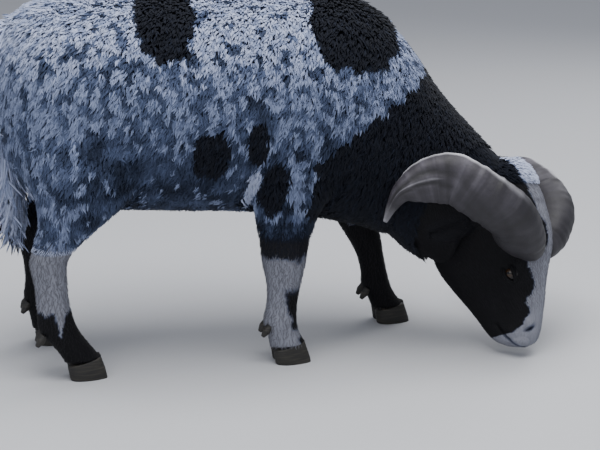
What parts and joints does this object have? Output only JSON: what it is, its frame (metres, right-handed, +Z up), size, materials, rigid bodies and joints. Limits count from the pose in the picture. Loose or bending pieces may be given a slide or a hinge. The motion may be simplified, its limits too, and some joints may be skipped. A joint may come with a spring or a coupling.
{
  "type": "jacob sheep",
  "caption": "Still life-size model of a horned, speckled Jacob ram grazing, with its head down and turned, for display on a floor or plinth.",
  "frame": {"origin": "middle of the bounding box on the floor under the ram", "axes": "+X forward along the body, +Y to the ram's left, +Z up"},
  "size_m": [1.092, 0.416, 0.6667],
  "materials": {
    "speckled_fleece": "curly wool, white flecked with blue-black",
    "white_wool": "long soft wool",
    "black_wool": "dense curly wool",
    "black_hair": "short flat hair with a low sheen",
    "white_hair": "short flat hair",
    "ringed_horn": "ringed and grooved keratin, worn",
    "claw_horn": "dull keratin",
    "dark_eye": "wet and glossy"
  },
  "bodies": {
    "root": {"claw_fore_left_inner": "claw_horn", "claw_fore_left_outer": "claw_horn", "claw_fore_right_inner": "claw_horn", "claw_fore_right_outer": "claw_horn", "claw_hind_left_inner": "claw_horn", "claw_hind_left_outer": "claw_horn", "claw_hind_right_inner": "claw_horn", "claw_hind_right_outer": "claw_horn", "dewclaw_fore_left_left": "claw_horn", "dewclaw_fore_left_right": "claw_horn", "dewclaw_fore_right_left": "claw_horn", "dewclaw_fore_right_right": "claw_horn", "dewclaw_hind_left_left": "claw_horn", "dewclaw_hind_left_right": "claw_horn", "dewclaw_hind_right_left": "claw_horn", "dewclaw_hind_right_right": "claw_horn", "ear_left": "black_hair", "ear_right": "black_hair", "eye_left": "dark_eye", "eye_right": "dark_eye", "head": "black_hair", "horn_left": "ringed_horn", "horn_right": "ringed_horn", "leg_fore_left_lower": "black_hair", "leg_fore_left_upper": "black_wool", "leg_fore_right_lower": "white_hair", "leg_fore_right_upper": "speckled_fleece", "leg_hind_left_lower": "black_hair", "leg_hind_left_upper": "black_wool", "leg_hind_right_lower": "white_hair", "leg_hind_right_upper": "speckled_fleece", "neck": "black_wool", "tail": "white_wool", "torso": "speckled_fleece"}
  },
  "joints": []
}
